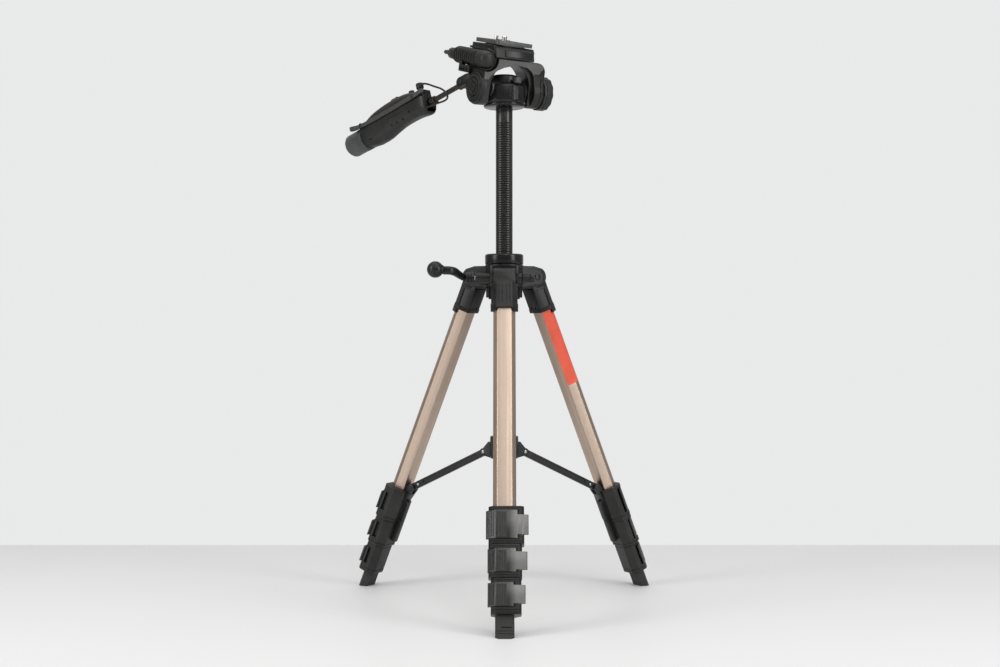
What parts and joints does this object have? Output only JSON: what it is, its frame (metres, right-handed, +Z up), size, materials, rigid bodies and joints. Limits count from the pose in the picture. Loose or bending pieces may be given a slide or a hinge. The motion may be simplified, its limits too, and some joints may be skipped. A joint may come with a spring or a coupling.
{
  "type": "tripod with fluid head",
  "caption": "Folding camera tripod with telescoping flip-lock legs, a geared centre column with crank, and a pan-and-tilt fluid head with a remote-control pan handle.",
  "frame": {"origin": "floor level, at the centre of the plan view box of the whole tripod as it stands open", "axes": "+Z up along the centre column, -Y towards the front leg, +X to the right seen from the front leg"},
  "size_m": [0.3802, 0.3568, 0.6603],
  "materials": {
    "black_plastic": "satin moulded, fine texture",
    "champagne_aluminium": "satin champagne anodised",
    "grey_plastic": "satin moulded, a little lighter",
    "black_metal": "black anodised, semi-gloss",
    "steel": "bright turned steel",
    "foot_rubber": "matte",
    "cable_sheath": "satin",
    "strap_rubber": "matte"
  },
  "bodies": {
    "base": {"shoulder_casting": "black_plastic", "column_collar": "black_plastic", "guide_tube": "black_metal"},
    "front_leg": {"front_hinge_cap": "black_plastic", "front_tube_1": "champagne_aluminium", "front_collar_1": "black_plastic"},
    "front_leg_section_2": {"front_section_2": "champagne_aluminium"},
    "front_leg_section_3": {"front_section_3": "champagne_aluminium"},
    "front_leg_section_4": {"front_tube_4": "champagne_aluminium", "front_foot": "foot_rubber"},
    "front_lock_lever_1": {"front_lever_1": "grey_plastic"},
    "front_lock_lever_2": {"front_lever_2": "grey_plastic"},
    "front_lock_lever_3": {"front_lever_3": "grey_plastic"},
    "front_strut": {"front_strut": "black_plastic"},
    "right_leg": {"right_hinge_cap": "black_plastic", "right_tube_1": "champagne_aluminium", "right_collar_1": "black_plastic"},
    "right_leg_section_2": {"right_section_2": "champagne_aluminium"},
    "right_leg_section_3": {"right_section_3": "champagne_aluminium"},
    "right_leg_section_4": {"right_tube_4": "champagne_aluminium", "right_foot": "foot_rubber"},
    "right_lock_lever_1": {"right_lever_1": "grey_plastic"},
    "right_lock_lever_2": {"right_lever_2": "grey_plastic"},
    "right_lock_lever_3": {"right_lever_3": "grey_plastic"},
    "right_strut": {"right_strut": "black_plastic"},
    "left_leg": {"left_hinge_cap": "black_plastic", "left_tube_1": "champagne_aluminium", "left_collar_1": "black_plastic"},
    "left_leg_section_2": {"left_section_2": "champagne_aluminium"},
    "left_leg_section_3": {"left_section_3": "champagne_aluminium"},
    "left_leg_section_4": {"left_tube_4": "champagne_aluminium", "left_foot": "foot_rubber"},
    "left_lock_lever_1": {"left_lever_1": "grey_plastic"},
    "left_lock_lever_2": {"left_lever_2": "grey_plastic"},
    "left_lock_lever_3": {"left_lever_3": "grey_plastic"},
    "left_strut": {"left_strut": "black_plastic"},
    "brace_hub": {"brace_hub": "black_plastic"},
    "column": {"centre_column": "black_metal"},
    "crank": {"crank_shaft": "steel", "crank_arm": "black_plastic"},
    "crank_knob": {"crank_knob": "black_plastic"},
    "column_lock_knob": {"column_lock_knob": "black_plastic"},
    "pan_base": {"pan_base": "black_plastic"},
    "pan_lock_knob": {"pan_lock_knob": "black_plastic"},
    "tilt_head": {"tilt_yoke": "black_plastic"},
    "tilt_lock_knob": {"tilt_lock_knob": "grey_plastic"},
    "platform": {"camera_platform": "black_plastic"},
    "side_lock_handle": {"side_lock_handle": "grey_plastic"},
    "quick_shoe": {"quick_shoe": "black_plastic"},
    "video_pin": {"video_pin": "steel"},
    "camera_screw": {"camera_screw": "steel"},
    "shoe_release": {"shoe_release_lever": "grey_plastic"},
    "pan_handle": {"pan_handle_rod": "black_metal", "grip_lower_shell": "grey_plastic", "grip_upper_shell": "black_plastic", "grip_end_cap": "grey_plastic", "remote_cable": "cable_sheath", "wrist_strap": "strap_rubber"},
    "record_button": {"record_button": "grey_plastic"},
    "zoom_rocker": {"zoom_rocker": "grey_plastic"}
  },
  "joints": [
    {"name": "fold_legs", "type": "hinge", "parent": "base", "child": "front_leg", "pos_m": [0.01283, -0.01294, 0.376], "axis": [1, 0, 0], "range_deg": [0, 21]},
    {"name": "tilt", "type": "hinge", "parent": "pan_base", "child": "tilt_head", "pos_m": [0.01283, 0.02326, 0.593], "axis": [0.8572, 0.515, 0], "range_deg": [-40, 55]},
    {"name": "pan", "type": "hinge", "parent": "column", "child": "pan_base", "pos_m": [0.01283, 0.02326, 0.593], "axis": [0, 0, 1], "continuous": true},
    {"name": "column_height", "type": "slide", "parent": "base", "child": "column", "axis": [0, 0, 1], "range_m": [-0.16, 0.008]},
    {"name": "side_tilt", "type": "hinge", "parent": "tilt_head", "child": "platform", "pos_m": [-0.01263, -0.00174, 0.62493], "axis": [0.4984, -0.8295, -0.2521], "range_deg": [0, 90]},
    {"name": "handle_angle", "type": "hinge", "parent": "tilt_head", "child": "pan_handle", "pos_m": [-0.03317, 0.02626, 0.602], "axis": [-0.6945, -0.7195, 0], "range_deg": [-25, 25]},
    {"name": "front_section_2", "type": "slide", "parent": "front_leg", "child": "front_leg_section_2", "axis": [0, -0.3888, -0.9213], "range_m": [0, 0.245]},
    {"name": "front_section_3", "type": "slide", "parent": "front_leg_section_2", "child": "front_leg_section_3", "axis": [0, -0.3888, -0.9213], "range_m": [0, 0.26]},
    {"name": "front_section_4", "type": "slide", "parent": "front_leg_section_3", "child": "front_leg_section_4", "axis": [0, -0.3888, -0.9213], "range_m": [0, 0.265]},
    {"name": "right_section_2", "type": "slide", "parent": "right_leg", "child": "right_leg_section_2", "axis": [0.3367, 0.1944, -0.9213], "range_m": [0, 0.245]},
    {"name": "right_section_3", "type": "slide", "parent": "right_leg_section_2", "child": "right_leg_section_3", "axis": [0.3367, 0.1944, -0.9213], "range_m": [0, 0.26]},
    {"name": "right_section_4", "type": "slide", "parent": "right_leg_section_3", "child": "right_leg_section_4", "axis": [0.3367, 0.1944, -0.9213], "range_m": [0, 0.265]},
    {"name": "left_section_2", "type": "slide", "parent": "left_leg", "child": "left_leg_section_2", "axis": [-0.3367, 0.1944, -0.9213], "range_m": [0, 0.245]},
    {"name": "left_section_3", "type": "slide", "parent": "left_leg_section_2", "child": "left_leg_section_3", "axis": [-0.3367, 0.1944, -0.9213], "range_m": [0, 0.26]},
    {"name": "left_section_4", "type": "slide", "parent": "left_leg_section_3", "child": "left_leg_section_4", "axis": [-0.3367, 0.1944, -0.9213], "range_m": [0, 0.265]},
    {"name": "front_lever_1", "type": "hinge", "parent": "front_leg", "child": "front_lock_lever_1", "pos_m": [0.03093, -0.13467, 0.11326], "axis": [0, 0.3888, 0.9213], "range_deg": [0, 90]},
    {"name": "front_lever_2", "type": "hinge", "parent": "front_leg_section_2", "child": "front_lock_lever_2", "pos_m": [0.02853, -0.14873, 0.07892], "axis": [0, 0.3888, 0.9213], "range_deg": [0, 90]},
    {"name": "front_lever_3", "type": "hinge", "parent": "front_leg_section_3", "child": "front_lock_lever_3", "pos_m": [0.02773, -0.16181, 0.04536], "axis": [0, 0.3888, 0.9213], "range_deg": [0, 90]},
    {"name": "right_lever_1", "type": "hinge", "parent": "right_leg", "child": "right_lock_lever_1", "pos_m": [0.14056, 0.1179, 0.11326], "axis": [-0.3367, -0.1944, 0.9213], "range_deg": [0, 90]},
    {"name": "right_lever_2", "type": "hinge", "parent": "right_leg_section_2", "child": "right_lock_lever_2", "pos_m": [0.15393, 0.12285, 0.07892], "axis": [-0.3367, -0.1944, 0.9213], "range_deg": [0, 90]},
    {"name": "right_lever_3", "type": "hinge", "parent": "right_leg_section_3", "child": "right_lock_lever_3", "pos_m": [0.16565, 0.12869, 0.04536], "axis": [-0.3367, -0.1944, 0.9213], "range_deg": [0, 90]},
    {"name": "left_lever_1", "type": "hinge", "parent": "left_leg", "child": "left_lock_lever_1", "pos_m": [-0.13299, 0.08655, 0.11326], "axis": [0.3367, -0.1944, 0.9213], "range_deg": [0, 90]},
    {"name": "left_lever_2", "type": "hinge", "parent": "left_leg_section_2", "child": "left_lock_lever_2", "pos_m": [-0.14396, 0.09566, 0.07892], "axis": [0.3367, -0.1944, 0.9213], "range_deg": [0, 90]},
    {"name": "left_lever_3", "type": "hinge", "parent": "left_leg_section_3", "child": "left_lock_lever_3", "pos_m": [-0.15489, 0.10289, 0.04536], "axis": [0.3367, -0.1944, 0.9213], "range_deg": [0, 90]},
    {"name": "shoe_lift", "type": "slide", "parent": "platform", "child": "quick_shoe", "axis": [0.1298, -0.2161, 0.9677], "range_m": [0, 0.03]},
    {"name": "shoe_release", "type": "hinge", "parent": "platform", "child": "shoe_release", "pos_m": [0.04508, 0.02785, 0.63372], "axis": [0.1298, -0.2161, 0.9677], "range_deg": [-25, 0]},
    {"name": "crank_knob_spin", "type": "hinge", "parent": "crank", "child": "crank_knob", "pos_m": [-0.06567, -0.01274, 0.383], "axis": [1, 0, 0], "continuous": true},
    {"name": "record_button_press", "type": "slide", "parent": "pan_handle", "child": "record_button", "axis": [0.19, -0.1834, -0.9645], "range_m": [0, 0.0012]},
    {"name": "zoom_rocker_tilt", "type": "hinge", "parent": "pan_handle", "child": "zoom_rocker", "pos_m": [-0.11747, 0.10763, 0.59066], "axis": [-0.6945, -0.7195, 0], "range_deg": [-4, 4]},
    {"name": "tilt_lock", "type": "hinge", "parent": "tilt_head", "child": "tilt_lock_knob", "pos_m": [0.01283, 0.02326, 0.593], "axis": [0.8572, 0.515, 0], "range_deg": [-180, 180]},
    {"name": "side_tilt_lock", "type": "hinge", "parent": "tilt_head", "child": "side_lock_handle", "pos_m": [-0.01263, -0.00174, 0.62493], "axis": [-0.4984, 0.8295, 0.2521], "range_deg": [-180, 180]},
    {"name": "column_lock", "type": "hinge", "parent": "base", "child": "column_lock_knob", "pos_m": [0.03883, 0.00876, 0.374], "axis": [1, 0, 0], "range_deg": [-180, 180]},
    {"name": "pan_lock", "type": "hinge", "parent": "pan_base", "child": "pan_lock_knob", "pos_m": [0.02725, 0.00626, 0.601], "axis": [-0.515, 0.8572, 0], "range_deg": [-90, 90]},
    {"name": "camera_screw_turn", "type": "hinge", "parent": "quick_shoe", "child": "camera_screw", "pos_m": [0.01283, 0.02327, 0.65087], "axis": [0.1298, -0.2161, 0.9677], "continuous": true},
    {"name": "video_pin_press", "type": "slide", "parent": "quick_shoe", "child": "video_pin", "axis": [-0.1298, 0.2161, -0.9677], "range_m": [0, 0.0032]},
    {"name": "fold_right_leg", "type": "hinge", "parent": "base", "child": "right_leg", "pos_m": [0.04418, 0.04136, 0.376], "axis": [-0.5, 0.866, 0], "range_deg": [-1, 22]},
    {"name": "fold_left_leg", "type": "hinge", "parent": "base", "child": "left_leg", "pos_m": [-0.01852, 0.04136, 0.376], "axis": [-0.5, -0.866, 0], "range_deg": [-1, 22]},
    {"name": "brace_hub_rise", "type": "slide", "parent": "base", "child": "brace_hub", "axis": [0, 0, 1], "range_m": [-0.003, 0.052]},
    {"name": "fold_front_strut", "type": "hinge", "parent": "front_leg", "child": "front_strut", "pos_m": [0.01283, -0.10409, 0.12401], "axis": [1, 0, 0], "range_deg": [-2, 42.8]},
    {"name": "fold_right_strut", "type": "hinge", "parent": "right_leg", "child": "right_strut", "pos_m": [0.12312, 0.08693, 0.12401], "axis": [-0.5, 0.866, 0], "range_deg": [-2, 42.8]},
    {"name": "fold_left_strut", "type": "hinge", "parent": "left_leg", "child": "left_strut", "pos_m": [-0.09745, 0.08693, 0.12401], "axis": [-0.5, -0.866, 0], "range_deg": [-2, 42.8]},
    {"name": "crank_turn", "type": "hinge", "parent": "base", "child": "crank", "pos_m": [0.01283, 0.00876, 0.374], "axis": [1, 0, 0], "range_deg": [-2000, 200]}
  ],
  "couplings": [
    {"joint": "fold_right_leg", "follows": "fold_legs", "ratio": 1},
    {"joint": "fold_left_leg", "follows": "fold_legs", "ratio": 1},
    {"joint": "brace_hub_rise", "follows": "fold_legs", "m_per_rad": 0.13359},
    {"joint": "fold_front_strut", "follows": "fold_legs", "ratio": 1.9449},
    {"joint": "fold_right_strut", "follows": "fold_legs", "ratio": 1.9449},
    {"joint": "fold_left_strut", "follows": "fold_legs", "ratio": 1.9449},
    {"joint": "crank_turn", "follows": "column_height", "rad_per_m": 179.01}
  ]
}
